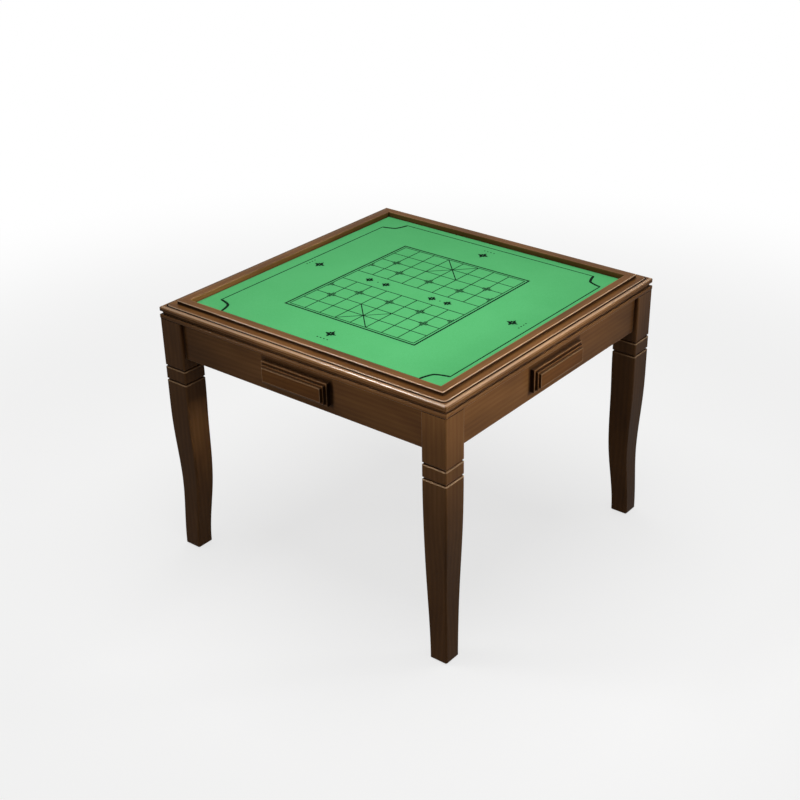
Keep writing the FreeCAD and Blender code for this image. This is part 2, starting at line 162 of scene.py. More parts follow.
def near_arris(tree):
    """How near to an outer arris a point is, by the share of short rays into the wood that come
    out again: 0 up to a tenth of them, and 1 from about a half."""
    inside = add(tree, "AmbientOcclusion",
                 {"samples": 8, "inside": True, "only_local": True, "Distance": arris_reach})
    return add(tree, "MapRange", {"From Min": 0.90, "From Max": 0.52},
               {"Value": inside.outputs["AO"]}).outputs[0]


def corner_shade(tree):
    """How deep a point lies in a groove or inner corner, by the share of short rays outwards that
    meet something: 0 up to a seventh of them, and 1 from two thirds. This sets the painted shade."""
    outside = add(tree, "AmbientOcclusion", {"samples": 8, "Distance": corner_shade_reach})
    return add(tree, "MapRange", {"From Min": 0.85, "From Max": 0.35},
               {"Value": outside.outputs["AO"]}).outputs[0]


def from_mitre(tree):
    """0 at the top's mitres, where |x| equals |y|, and 1 from a few millimetres away."""
    place = add(tree, "TexCoord").outputs["Object"]
    folded = add(tree, "VectorMath", {"operation": "ABSOLUTE"}, {0: place})
    parts = add(tree, "SeparateXYZ", links={0: folded.outputs[0]})
    apart = add(tree, "Math", {"operation": "SUBTRACT"},
                {0: parts.outputs["X"], 1: parts.outputs["Y"]})
    distance = add(tree, "Math", {"operation": "ABSOLUTE"}, {0: apart.outputs[0]})
    return add(tree, "MapRange", {"From Min": 0.6 * arris_reach, "From Max": 1.3 * arris_reach},
               {"Value": distance.outputs[0]}).outputs[0]


def below_bead(tree):
    """0 at a leg's top end, which the bead covers, and 1 from a few millimetres below."""
    parts = add(tree, "SeparateXYZ", links={0: add(tree, "TexCoord").outputs["Object"]})
    return add(tree, "MapRange",
               {"From Min": leg_top - 2 * arris_reach, "From Max": leg_top - arris_reach,
                "To Min": 1.0, "To Max": 0.0}, {"Value": parts.outputs["Z"]}).outputs[0]


def lip_line(tree, height, half_width):
    """1 within half a line's width of its height on the leg, and 0 away from it."""
    parts = add(tree, "SeparateXYZ", links={0: add(tree, "TexCoord").outputs["Object"]})
    return add(tree, "Math", {"operation": "COMPARE", 1: height, 2: half_width},
               {0: parts.outputs["Z"]}).outputs[0]


def stained_lacquer(name, grain, line_at, wear_and_highlight_lines=(), painted_shade_lines=(), gloss=0.05, haze=0.1,
                    shine=0.0, stain=(stain_dark, stain_middle, stain_light)):
    """Walnut-stained wood under satin lacquer, its grain along one axis of the table. Its arrises
    and some lines are paler, partly rubbed wear and partly painted highlight, and its grooves,
    inner corners and other lines are darker with painted shade: a row holds where line_at draws the
    line, and last its strength. Gloss is the strength of the clear coat, shine what rubbing adds to
    it along the pale lines, haze the pale bloom of the sprayed coat, and stain runs from dark to
    light."""
    material, tree, shader = new_material(name + "_" + grain)
    along = grain_coordinates(tree, grain)
    figure, shade, blotches, _ = wood_figure(tree, along, stained_shares)
    colour = add(tree, "ValToRGB", {"stops": zip(shade_stops, stain)}, {"Fac": shade})
    rounded = add(tree, "Bevel", {"samples": 6, "Radius": arris_round})
    uneven = add(tree, "MapRange", {"From Min": 0.35, "From Max": 0.65, "To Min": arris_wear_and_highlight[0],
                                    "To Max": arris_wear_and_highlight[1]}, {"Value": blotches})
    outer = add(tree, "Math", {"operation": "MULTIPLY"},
                {0: near_arris(tree), 1: uneven.outputs[0]})
    # painted shade in grooves and inner corners, and along the dark lines
    painted_shade_mask = add(tree, "Math", {"operation": "MULTIPLY", 1: corner_shade_strength}, {0: corner_shade(tree)})
    for *where, depth in painted_shade_lines:
        shaded_there = add(tree, "Math", {"operation": "MULTIPLY", 1: depth},
                            {0: line_at(tree, *where)})
        painted_shade_mask = add(tree, "Math", {"operation": "MAXIMUM"},
                     {0: painted_shade_mask.outputs[0], 1: shaded_there.outputs[0]})
    unshaded = add(tree, "Math", {"operation": "SUBTRACT", 0: 1.0}, {1: painted_shade_mask.outputs[0]})
    # wear and painted highlight on arrises, and along the pale lines
    wear_and_highlight = add(tree, "Math", {"operation": "MULTIPLY"},
               {0: outer.outputs[0], 1: unshaded.outputs[0]})
    reached = below_bead(tree) if grain == "z" else from_mitre(tree)    # ends get no wear or painted highlight
    wear_and_highlight = add(tree, "Math", {"operation": "MULTIPLY"}, {0: wear_and_highlight.outputs[0], 1: reached})
    lines = [line_at(tree, *where) for *where, wear in wear_and_highlight_lines]
    for line, (*where, wear) in zip(lines, wear_and_highlight_lines):
        pale_there = add(tree, "Math", {"operation": "MULTIPLY", 1: wear}, {0: line})
        wear_and_highlight = add(tree, "Math", {"operation": "MAXIMUM"},
                   {0: wear_and_highlight.outputs[0], 1: pale_there.outputs[0]})
    # the painted shade first, then the pale wear and painted highlight
    darkened = add(tree, "Mix", {"data_type": "RGBA", 7: linear(painted_shade_colour)},
                   {0: painted_shade_mask.outputs[0], 6: colour.outputs[0]})
    paled = add(tree, "Mix", {"data_type": "RGBA", 7: linear(wear_and_highlight_pale)},
                 {0: wear_and_highlight.outputs[0], 6: darkened.outputs[2]})
    satin = add(tree, "MapRange", {"From Min": 0.3, "From Max": 0.7, "To Min": satin_roughness[0],
                                   "To Max": satin_roughness[1]}, {"Value": blotches})
    relief = add(tree, "Bump", {"Strength": 0.35, "Distance": pore_depth},
                 {"Height": figure, "Normal": rounded.outputs[0]})
    set_node(shader, {"Sheen Weight": haze, "Sheen Roughness": 0.4,
                      "Specular IOR Level": gloss / 4, "Coat Weight": gloss,
                      "Coat Roughness": coat_roughness},
             {"Base Color": paled.outputs[2], "Roughness": satin.outputs[0],
              "Normal": relief.outputs[0]})
    if shine:       # the coat is thicker on the lines, and levels the grain
        polished = lines[0]
        for line in lines[1:]:
            polished = add(tree, "Math", {"operation": "MAXIMUM"},
                           {0: polished, 1: line}).outputs[0]
        shining = add(tree, "Math", {"operation": "MULTIPLY_ADD", 1: shine, 2: gloss},
                      {0: polished})
        set_node(shader, links={"Coat Weight": shining.outputs[0],
                                "Coat Normal": rounded.outputs[0]})
    return material


def dress(names, material):
    """Gives CAD nodes their finish, through their own material slots."""
    for name in names:
        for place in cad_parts[name].material_slots:
            place.material = material


dress(["leg_" + corner for corner in corners],
      stained_lacquer("walnut_stained_satin_lacquer", "z", lip_line, groove_lip_highlights))

# ---------------------------------------------------------------------------------------------
# Aprons: four solid boards between the legs, each with a sawn opening for its drawer, screwed to
# the corner blocks from behind. The grain runs along the board, and a painted shadow darkens it
# round the drawer's overlay front.
side_grains = {"front": "x", "right": "y", "back": "x", "left": "y"}
front_middle = 663.5 * mm
front_half_length = 110 * mm
front_half_height = 31.5 * mm
# painted shadow on the apron round the drawer's front
painted_shadow_round_front = (0.0 * mm, 8.6 * mm, 0.6)       # inset, half width and strength


def soft_line(tree, distance, half_width):
    """1 near the middle of a line, falling to 0 from 0.6 to 1.4 of its half width away."""
    return add(tree, "MapRange", {"From Min": 0.6 * half_width, "From Max": 1.4 * half_width,
                                  "To Min": 1.0, "To Max": 0.0}, {"Value": distance}).outputs[0]


def front_line(tree, grain, inset, half_width):
    """1 along a line round a drawer's front, at an inset from its outline, and 0 away from it. The
    distance is | min(half length - |along|, half height - |up|) - inset |."""
    from_middle = add(tree, "VectorMath", {"operation": "SUBTRACT", 1: (0, 0, front_middle)},
                      {0: grain_coordinates(tree, grain)})
    folded = add(tree, "VectorMath", {"operation": "ABSOLUTE"}, {0: from_middle.outputs[0]})
    parts = add(tree, "SeparateXYZ", links={0: folded.outputs[0]})
    from_end = add(tree, "Math", {"operation": "SUBTRACT", 0: front_half_length},
                   {1: parts.outputs["X"]})
    from_edge = add(tree, "Math", {"operation": "SUBTRACT", 0: front_half_height},
                    {1: parts.outputs["Z"]})
    nearer = add(tree, "Math", {"operation": "MINIMUM"},
                 {0: from_end.outputs[0], 1: from_edge.outputs[0]})
    past = add(tree, "Math", {"operation": "SUBTRACT", 1: inset}, {0: nearer.outputs[0]})
    distance = add(tree, "Math", {"operation": "ABSOLUTE"}, {0: past.outputs[0]})
    return soft_line(tree, distance.outputs[0], half_width)


apron_lacquer = {grain: stained_lacquer("walnut_stained_satin_lacquer", grain, front_line,
                                        painted_shade_lines=[(grain, *painted_shadow_round_front)])
                 for grain in "xy"}
for side, grain in side_grains.items():
    dress(["apron_" + side], apron_lacquer[grain])

# ---------------------------------------------------------------------------------------------
# Corner blocks: raw rubberwood cut across the corner behind each leg, planed and left bare. Pale
# straw-coloured wood with brown pores, dull to the light.
bare_dark = "#a5794a"
bare_middle = "#c79c6b"
bare_light = "#dcb988"
planed_shares = (0.3, -0.1, 0.8, 0.4)       # of rings, their start, streaks and blotches
planed_round = 0.6 * mm
planed_roughness = (0.58, 0.72)
open_pore_depth = 0.15 * mm


def planed_wood(grain):
    """Bare planed rubberwood, its grain along one axis of the table."""
    material, tree, shader = new_material("planed_rubberwood_" + grain)
    along = grain_coordinates(tree, grain)
    figure, shade, _, streaks = wood_figure(tree, along, planed_shares)
    colour = add(tree, "ValToRGB",
                 {"stops": [(0.30, bare_dark), (0.58, bare_middle), (0.90, bare_light)]},
                 {"Fac": shade})
    rounded = add(tree, "Bevel", {"samples": 6, "Radius": planed_round})
    relief = add(tree, "Bump", {"Strength": 0.5, "Distance": open_pore_depth},
                 {"Height": figure, "Normal": rounded.outputs[0]})
    rough = add(tree, "MapRange", {"From Min": 0.3, "From Max": 0.7, "To Min": planed_roughness[0],
                                   "To Max": planed_roughness[1]}, {"Value": streaks})
    set_node(shader, {"Specular IOR Level": 0.3},
             {"Base Color": colour.outputs[0], "Roughness": rough.outputs[0],
              "Normal": relief.outputs[0]})
    return material


bare_wood = {grain: planed_wood(grain) for grain in "xyz"}
dress(["corner_block_" + corner for corner in corners], bare_wood["z"])

# ---------------------------------------------------------------------------------------------
# Steel fixings: M8 hanger bolts with washers and nuts, and cross-head screws, all bright zinc
# plate over drawn steel. The plate is slightly cloudy and cool in colour. Lengths and places
# without a unit are in millimetres.
zinc_pale = "#cfd3d6"
zinc_dull = "#a9aeb4"
zinc_roughness = (0.22, 0.42)
zinc_round = 0.3 * mm
cloud_size = 4 * mm
plate_grit = 0.03 * mm
zinc, tree, shader = new_material("bright_zinc_plated_steel")
place = add(tree, "TexCoord").outputs["Object"]
clouds = add(tree, "TexNoise", {"Scale": 1 / cloud_size, "Detail": 4.0}, {"Vector": place})
plate = add(tree, "ValToRGB", {"stops": [(0.35, zinc_dull), (0.65, zinc_pale)]},
            {"Fac": clouds.outputs["Fac"]})
dulled = add(tree, "MapRange", {"From Min": 0.3, "From Max": 0.7, "To Min": zinc_roughness[0],
                                "To Max": zinc_roughness[1]}, {"Value": clouds.outputs["Fac"]})
rounded = add(tree, "Bevel", {"samples": 6, "Radius": zinc_round})
grit = add(tree, "Bump", {"Strength": 0.2, "Distance": plate_grit},
           {"Height": clouds.outputs["Fac"], "Normal": rounded.outputs[0]})
set_node(shader, {"Metallic": 1.0}, {"Base Color": plate.outputs[0],
                                     "Roughness": dulled.outputs[0], "Normal": grit.outputs[0]})
bolt_radius = 4.0
bolt_waist = 3.6            # between the two threads
bolt_chamfer = 0.8
bolt_point = 7.0
bolt_tail = 537.62          # along the corner's diagonal, from the middle of the table
bolt_length = 76.09
bolt_heights = (647.75, 683.75)
bolt_sides = 18
machine_thread = (30.0, 1.25, 0.55)     # length, pitch and depth
coach_thread = (36.0, 3.2, 0.9)
coach_steepness = 1.6       # of the flanks, which leaves sharp crests and flat roots
thread_end = 0.5
nut_start = 541.62
nut_height = 6.5
nut_flat = 6.5
nut_face = 6.2
nut_bore = 4.1
nut_lead = 0.5
nut_chamfer = 1.7           # slope of the cone that cuts the corners
nut_sides = 48
washer_start = 548.12
washer_radius = 10.0
washer_hole = 4.3
washer_thickness = 1.6
washer_sides = 40
head_radius = 4.0
head_height = 3.0
head_dish = 0.12
shank_radius = 2.0
screw_thread = (1.4, 0.45)              # pitch and depth
screw_steepness = 1.5
screw_point = 1.4
screw_sides = 32
recess_arm = 0.55
recess_reach = 2.3
recess_depth = 1.7
recess_fade = 0.6
top_screw_length = 25.0
top_screw_places = [(x, -433.75, 713.0) for x in (-250, 0, 250)]
corner_screw_length = 22.0
corner_screw_heights = (636.5, 695.0)
corner_screw_along = 346.4
corner_screw_start = 435.0


def grid_quads(rows, columns, wrap_columns=False, wrap_rows=False):
    """Quads between neighbouring points of a rows by columns grid, as an array of four indices."""
    row = np.arange(rows if wrap_rows else rows - 1)[:, None]
    column = np.arange(columns if wrap_columns else columns - 1)[None, :]
    above, beside = (row + 1) % rows * columns, (column + 1) % columns
    return np.stack([row * columns + column, row * columns + beside, above + beside,
                     above + column], -1).reshape(-1, 4)


def make_piece(name, points, faces, material, body="table", smooth=False):
    """A mesh piece from arrays of points and quads, with its finish, on its body. Points that
    fall together, as at a pole, become one."""
    mesh = bpy.data.meshes.new(name)
    mesh.from_pydata(np.asarray(points, float).reshape(-1, 3).tolist(), [],
                     np.asarray(faces).tolist())
    welded = bmesh.new()
    welded.from_mesh(mesh)
    bmesh.ops.remove_doubles(welded, verts=welded.verts, dist=0.001 * mm)
    welded.to_mesh(mesh)
    welded.free()
    mesh.polygons.foreach_set("use_smooth", [smooth] * len(mesh.polygons))
    mesh.materials.append(material)
    mesh.validate()
    piece = bpy.data.objects.new(name, mesh)
    bpy.context.scene.collection.objects.link(piece)
    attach(piece, body)
    return piece


def turned(outline, around, reshape=None):
    """An outline of (radius, along) rows carried round its axis: (radius cos t, radius sin t,
    along). A reshape function may first change radius and along by the angle t."""
    outline = np.asarray(outline, float)
    t = np.arange(around) / around * 2 * math.pi
    radius = np.repeat(outline[:, :1], around, 1)
    along = np.repeat(outline[:, 1:], around, 1)
    if reshape:
        radius, along = reshape(radius, along, t[None, :])
    return np.stack([radius * np.cos(t), radius * np.sin(t), along], -1)


def placed(points, start, axis):
    """Turned points moved so that their own axis starts at a place and runs along a direction."""
    axis = np.array(axis, float) / np.linalg.norm(axis)
    first = np.cross((0, 0, 1), axis) if abs(axis[2]) < 0.5 else np.array((1.0, 0, 0))
    return points @ np.array([first, np.cross(axis, first), axis]) + np.array(start)


def on_four_sides(shapes):
    """Shapes repeated by quarter turns about the middle of the table."""
    quarter = np.array([(0, 1, 0), (-1, 0, 0), (0, 0, 1)])
    return [shape @ np.linalg.matrix_power(quarter, turns) for turns in range(4)
            for shape in shapes]


def fixings(name, node, shapes, material, closed=False):
    """One piece of all the turned shapes, each a grid of rows and columns, in place of a node."""
    rows, columns = shapes[0].shape[:2]
    faces = grid_quads(rows, columns, True, closed)
    faces = np.concatenate([faces + rows * columns * i for i in range(len(shapes))])
    piece = make_piece(name, np.stack(shapes) * mm, faces, material)
    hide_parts(node)


def bolt_outline():
    """Rows from the tail to the point: a chamfer, five or six to each turn of thread, a waist
    between the threads, and a tip whose radius is that of the bolt times sqrt(share left)."""
    machine = np.arange(bolt_chamfer, machine_thread[0], machine_thread[1] / 5)
    coach = np.arange(bolt_length - coach_thread[0], bolt_length - bolt_point,
                      coach_thread[1] / 6)
    waist = [(bolt_waist, machine[-1] + bolt_chamfer), (bolt_waist, coach[0] - bolt_chamfer)]
    tip = np.linspace(bolt_length - bolt_point, bolt_length, 14)
    taper = bolt_radius * np.sqrt(np.clip((bolt_length - tip) / bolt_point, 0, 1))
    return np.concatenate([[(0, 0), (bolt_radius - bolt_chamfer, 0)],
                           np.stack([np.full(len(machine), bolt_radius), machine], 1), waist,
                           np.stack([np.full(len(coach), bolt_radius), coach], 1),
                           np.stack([taper, tip], 1)])


def thread_wave(along, t, pitch):
    """A triangle wave, 0 to 1 and back, of along / pitch - t / (2 pi)."""
    return np.abs((along / pitch - t / (2 * math.pi)) % 1 * 2 - 1)


def cut_threads(radius, along, t):
    """The radius less each thread's depth times its wave, where that thread runs. The coach
    thread's wave is steeper and cut off at 1."""
    length, pitch, depth = machine_thread
    on_machine = (along > thread_end) & (along < length)
    radius = radius - np.where(on_machine, depth * thread_wave(along, t, pitch), 0)
    length, pitch, depth = coach_thread
    wave = np.clip(thread_wave(along, t, pitch) * coach_steepness, 0, 1)
    on_coach = (along > bolt_length - length) & (along < bolt_length - thread_end)
    return np.clip(radius - np.where(on_coach, depth * wave, 0), 0, None), along


def hexagon(radius, along, t):
    """The least of the row's radius, a hexagon's flat / cos(t from the flat's middle) and a cone
    that chamfers both ends; rows inside the flat's circle stay round."""
    flats = nut_flat / np.cos(t % (math.pi / 3) - math.pi / 6)
    from_end = np.minimum(along, nut_height - along)
    return np.where(radius < nut_face, radius,
                    np.minimum(flats, nut_face + nut_chamfer * from_end)), along


def cross_recess(radius, along, t):
    """A cross sunk in the head: full depth within 0.7 of an arm's half width of either axis, none
    from 1.5 of it, and fading towards the arms' ends. Below the head, a thread as on the bolts."""
    across = np.minimum(np.abs(radius * np.cos(t)), np.abs(radius * np.sin(t)))
    arm = np.clip((1.5 * recess_arm - across) / (0.8 * recess_arm), 0, 1)
    reached = np.clip((recess_reach - radius) / recess_fade, 0, 1)
    sunk = arm * reached * (along < recess_fade)
    pitch, depth = screw_thread
    wave = np.clip(thread_wave(along, t, pitch) * screw_steepness, 0, 1)
    threaded = (along > head_height + 1) & (radius > 0.75 * shank_radius)
    return radius - depth * wave * threaded, along + recess_depth * sunk


def screw_outline(length):
    """Rows of a countersunk screw: a head dished as (radius / its radius)^2, with rows for the
    recess, a cone, a shank and a tip."""
    rings = [(r, head_dish * (r / head_radius) ** 2)
             for r in np.linspace(0, head_radius - 0.2, 16)]
    cone = [(head_radius, 0.35), (head_radius, 0.7), (shank_radius, head_height)]
    shank = [(shank_radius, s)
             for s in np.arange(head_height + 0.4, length - 3, screw_thread[0] / 4)]
    return rings + cone + shank + [(shank_radius * 0.6, length - screw_point), (0, length)]


diagonal = np.array((1, -1, 0)) / math.sqrt(2)
bolt_shape = turned(bolt_outline(), bolt_sides, cut_threads)
nut_rows = ([(nut_bore, nut_lead), (nut_bore + nut_lead, 0)]
            + [(nut_face + 1, s) for s in (0, 0.25, 0.5, 0.78, 3.25, 5.72, 6.0, 6.25, 6.5)]
            + [(nut_bore + nut_lead, nut_height), (nut_bore, nut_height - nut_lead)])
nut_shape = turned(nut_rows, nut_sides, hexagon)
washer_rows = [(washer_hole, 0.2), (washer_hole + 0.2, 0), (washer_radius - 0.5, 0),
               (washer_radius - 0.1, 0.15), (washer_radius, 0.5), (washer_radius, 1.3),
               (washer_radius - 0.3, washer_thickness), (washer_hole + 0.2, washer_thickness),
               (washer_hole, 1.4)]
washer_shape = turned(washer_rows, washer_sides)
for name, node, shape, start, closed in (
        ("threaded_hanger_bolts", "hanger_bolts", bolt_shape, bolt_tail, False),
        ("chamfered_nuts", "bolt_nuts", nut_shape, nut_start, True),
        ("rolled_washers", "bolt_washers", washer_shape, washer_start, True)):
    shapes = [placed(shape, diagonal * start + (0, 0, height), diagonal)
              for height in bolt_heights]
    fixings(name, node, on_four_sides(shapes), zinc, closed)

screw_shape = turned(screw_outline(top_screw_length), screw_sides, cross_recess)
shapes = [placed(screw_shape, place, (0, 0, 1)) for place in top_screw_places]
fixings("recessed_top_screws", "top_screws", on_four_sides(shapes), zinc)

screw_shape = turned(screw_outline(corner_screw_length), screw_sides, cross_recess)
shapes = []
for height in corner_screw_heights:
    for place, axis in (((corner_screw_along, -corner_screw_start, height), (0, -1, 0)),
                        ((corner_screw_start, -corner_screw_along, height), (1, 0, 0))):
        shapes.append(placed(screw_shape, place, axis))
fixings("recessed_corner_screws", "corner_screws", on_four_sides(shapes), zinc)

# ---------------------------------------------------------------------------------------------
# Glides: moulded nylon pads nailed under the feet, dark brown and dull. The floor has scuffed
# them paler and pitted them a little. Their outline's radii and heights are in millimetres.
nylon_dark = "#241d19"
nylon_scuffed = "#4a3f37"
scuff_size = 1.8 * mm
scuff_depth = 0.05 * mm
nylon, tree, shader = new_material("moulded_nylon_scuffed")
place = add(tree, "TexCoord").outputs["Object"]
scuffs = add(tree, "TexNoise", {"Scale": 1 / scuff_size, "Detail": 5.0, "Roughness": 0.7},
             {"Vector": place})
scuffed = add(tree, "ValToRGB", {"stops": [(0.45, nylon_dark), (0.75, nylon_scuffed)]},
              {"Fac": scuffs.outputs["Fac"]})
pitted = add(tree, "Bump", {"Strength": 0.3, "Distance": scuff_depth},
             {"Height": scuffs.outputs["Fac"]})
set_node(shader, {"Roughness": 0.55},
         {"Base Color": scuffed.outputs[0], "Normal": pitted.outputs[0]})
glide_place = (446.0, -446.0, 0.0)
glide_sides = 40
glide_outline = [(0, 0.7), (2.6, 0.7), (3.2, 0.25), (3.8, 0), (11.6, 0), (12.3, 0.2), (12.8, 0.7),
                 (13, 1.3), (13, 2.6), (12.7, 3), (2, 3), (2, 19), (1.2, 20.4), (0, 21)]
shapes = on_four_sides([placed(turned(glide_outline, glide_sides), glide_place, (0, 0, 1))])
fixings("moulded_glides", "foot_glides", shapes, nylon)

# ---------------------------------------------------------------------------------------------
# Top: four moulded rails, mitred at the corners, with the bead rails under them. The same stained
# and lacquered rubberwood as the base, its grain turning with each side. The arrises of the rim
# and the ledge and the crown of the nose show as pale lines round the top, partly rubbed wear and
# partly painted highlight, and the foot of the rim and the quirk under the ledge as dark lines of
# painted shade.
moulding_gloss = 0.06
moulding_shine = 0.9
# pale lines at the rim's and ledge's arrises and the nose's crown, partly wear and partly painted
# highlight; dark lines at the rim's foot and the quirk, painted shade
# each line's reach from the table's middle, height, corner radius, half width and strength
rim_arris = (439.3 * mm, 759.3 * mm, 2.5 * mm, 1.2 * mm, 0.45)
rim_foot = (440.3 * mm, 754.3 * mm, 2.5 * mm, 3.6 * mm, 0.9)
ledge_arris = (460.2 * mm, 749.2 * mm, 13 * mm, 1.1 * mm, 0.45)
quirk = (462.6 * mm, 746.6 * mm, 15 * mm, 3.0 * mm, 0.95)
nose_crown = (470.4 * mm, 746.3 * mm, 6 * mm, 3.0 * mm, 0.36)


def moulding_line(tree, reach, height, corner_round, half_width):
    """1 along a line round the top, at a reach from its middle and a height, and 0 away from it.
    The distance is taken in the moulding's section, from a square with rounded corners."""
    place = add(tree, "TexCoord").outputs["Object"]
    folded = add(tree, "VectorMath", {"operation": "ABSOLUTE"}, {0: place})
    start = reach - corner_round
    beyond = add(tree, "VectorMath", {"operation": "SUBTRACT", 1: (start, start, height)},
                 {0: folded.outputs[0]})
    parts = add(tree, "SeparateXYZ", links={0: beyond.outputs[0]})
    level = add(tree, "CombineXYZ", links={"X": parts.outputs["X"], "Y": parts.outputs["Y"]})
    round_part = add(tree, "VectorMath", {"operation": "MAXIMUM", 1: (0, 0, 0)},
                     {0: level.outputs[0]})
    round_reach = add(tree, "VectorMath", {"operation": "LENGTH"}, {0: round_part.outputs[0]})
    longer = add(tree, "Math", {"operation": "MAXIMUM"},
                 {0: parts.outputs["X"], 1: parts.outputs["Y"]})
    inside = add(tree, "Math", {"operation": "MINIMUM", 1: 0.0}, {0: longer.outputs[0]})
    reached = add(tree, "Math", {"operation": "ADD"},
                  {0: round_reach.outputs["Value"], 1: inside.outputs[0]})
    over = add(tree, "Math", {"operation": "SUBTRACT", 1: corner_round}, {0: reached.outputs[0]})
    section = add(tree, "CombineXYZ", links={"X": over.outputs[0], "Y": parts.outputs["Z"]})
    distance = add(tree, "VectorMath", {"operation": "LENGTH"}, {0: section.outputs[0]})
    return soft_line(tree, distance.outputs["Value"], half_width)


moulding_lacquer = {
    grain: stained_lacquer("walnut_stained_moulding_polished_lines", grain, moulding_line,
                           (rim_arris, ledge_arris, nose_crown), (rim_foot, quirk),
                           gloss=moulding_gloss, haze=0.0, shine=moulding_shine)
    for grain in "xy"}
for side, grain in side_grains.items():
    dress(["top_rail_" + side], moulding_lacquer[grain])
    dress(["bead_rail_" + side], apron_lacquer[grain])
dress(["mitre_splines", "board_battens"], bare_wood["x"])

# ---------------------------------------------------------------------------------------------
# Playing board: birch plywood, sanded, let in from below. Its faces have the wavy figure of
# peeled veneer, and its edges show the plies.
veneer_dark = "#bf9765"
veneer_light = "#ddbf92"
ply_thickness = 1.5 * mm
ply_share = 0.25
veneer_waves = (9, 60, 1)       # to a metre, across the sheet's two sides and its thickness
veneer_fuzz = 0.05 * mm
plywood, tree, shader = new_material("sanded_birch_plywood")
place = add(tree, "TexCoord").outputs["Object"]
peeled = add(tree, "Mapping", {"Scale": veneer_waves}, {"Vector": place})
waves = add(tree, "TexNoise", {"Scale": 1.0, "Detail": 4.0, "Distortion": 0.8},
            {"Vector": peeled.outputs[0]})
plies = add(tree, "TexWave", {"wave_type": "BANDS", "bands_direction": "Z",
                              "Scale": wave_period / 2 / ply_thickness, "Distortion": 0.0},
            {"Vector": place})
stacked = add(tree, "Math", {"operation": "MULTIPLY_ADD", 1: ply_share},
              {0: plies.outputs["Fac"], 2: waves.outputs["Fac"]})
sanded = add(tree, "ValToRGB", {"stops": [(0.35, veneer_dark), (0.85, veneer_light)]},
             {"Fac": stacked.outputs[0]})
fuzz = add(tree, "Bump", {"Strength": 0.3, "Distance": veneer_fuzz},
           {"Height": waves.outputs["Fac"]})
set_node(shader, {"Roughness": 0.62, "Specular IOR Level": 0.3},
         {"Base Color": sanded.outputs[0], "Normal": fuzz.outputs[0]})
dress(["play_board"], plywood)

# ---------------------------------------------------------------------------------------------
# Baize: one sheet of napped cloth, 832 mm square and 2 mm thick, glued down on the board so that
# it lines the well. Cut with a knife, so its edges are a little lower than the middle. The nap
# has no gloss, and gives a soft, slightly mottled green.
baize_deep = "#48a35f"
baize_middle = "#50ac68"
baize_light = "#58b370"
nap_size = 1.6 * mm         # tufts are about 0.5 mm; drawn three times as coarse, to show
nap_depth = 0.25 * mm
nap_share = 0.7
nap_start = 0.06
brushed_size = 110 * mm     # patches where the nap lies another way
brushed_share = 0.18
sheet_low, sheet_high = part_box("play_surface")
cut_droop = 0.35 * mm
droop_reach = 2.5 * mm
sheet_lines = 90


def baize_surface():
    """A level square whose height falls towards the cut by the droop times exp(-edge / reach). Its
    grid lines crowd towards the edges, at sin(share * pi / 2) of the half width."""
    share = np.sin(np.linspace(-1, 1, sheet_lines) * math.pi / 2)
    x = share * sheet_high.x
    y = share * sheet_high.y
    across, up = np.meshgrid(x, y)
    edge = np.minimum(sheet_high.x - np.abs(across), sheet_high.y - np.abs(up))
    height = sheet_high.z - cut_droop * np.exp(-edge / droop_reach)
    return np.stack([across, up, height], -1), grid_quads(sheet_lines, sheet_lines)


baize, tree, shader = new_material("green_napped_baize")
place = add(tree, "TexCoord").outputs["Object"]
nap = add(tree, "TexNoise", {"Scale": 1 / nap_size, "Detail": 3.0, "Roughness": 0.7},
          {"Vector": place})
brushed = add(tree, "TexNoise", {"Scale": 1 / brushed_size, "Detail": 2.0}, {"Vector": place})
felted = add(tree, "Math", {"operation": "MULTIPLY_ADD", 1: nap_share, 2: nap_start},
             {0: nap.outputs["Fac"]})
mottled = add(tree, "Math", {"operation": "MULTIPLY_ADD", 1: brushed_share},
              {0: brushed.outputs["Fac"], 2: felted.outputs[0]})
green = add(tree, "ValToRGB",
            {"stops": [(0.34, baize_deep), (0.50, baize_middle), (0.66, baize_light)]},
            {"Fac": mottled.outputs[0]})
pile = add(tree, "Bump", {"Strength": 0.5, "Distance": nap_depth}, {"Height": nap.outputs["Fac"]})
set_node(shader, {"Roughness": 0.85, "Specular IOR Level": 0.05, "Sheen Weight": 0.05,
                  "Sheen Roughness": 0.5},
         {"Base Color": green.outputs[0], "Normal": pile.outputs[0]})

points, faces = baize_surface()
sheet = make_piece("baize_sheet", points, faces, baize, smooth=True)
thickness = sheet.modifiers.new("cloth_thickness", "SOLIDIFY")
thickness.thickness = sheet_high.z - sheet_low.z - cut_droop
thickness.offset = -1
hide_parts("play_surface")

# ---------------------------------------------------------------------------------------------
# Print: lines of dark green screen ink on the baize. A border with an indented bracket at each
# corner, a xiangqi grid in the middle, and plain rosettes and dots in its river and where players
# sit. Lengths and places without a unit are in millimetres.
ink_dark = "#020e07"
ink_thin = "#08281a"        # where the ink has soaked in, and the nap shows through
ink_lift = 0.12 * mm
ink_soak = 0.1 * mm
border_middle = (6.0, -3.0)
border_half = (381.5, 392.0)
border_line = 3.6
bracket_line = 7.5
bracket_size = 53.0
bracket_inner = (39.0, 14.0)
bracket_pull = (26.0, 5.5)
column_spacing = 52.1
row_spacing = 53.5
grid_middle = (-6.3, -1.0)
river_half = 32.7
frame_gap = 8.5
frame_line = 5.2
grid_line = 2.9
mark_gap = 3.6
mark_leg = 10.0
mark_line = 2.3
marked_points = ((1, 2), (7, 2), (0, 1), (2, 1), (4, 1), (6, 1), (8, 1))    # column and row
river_rosettes = (-146, -88, 70, 122)
river_dots = (-116, 97)
river_dot_radius = 2.2
river_petals = (14, 11, 6)          # long, short and their width
seat_petals = (18, 12, 7)
seat_rosette_reach = 330
seat_dots_reach = 362
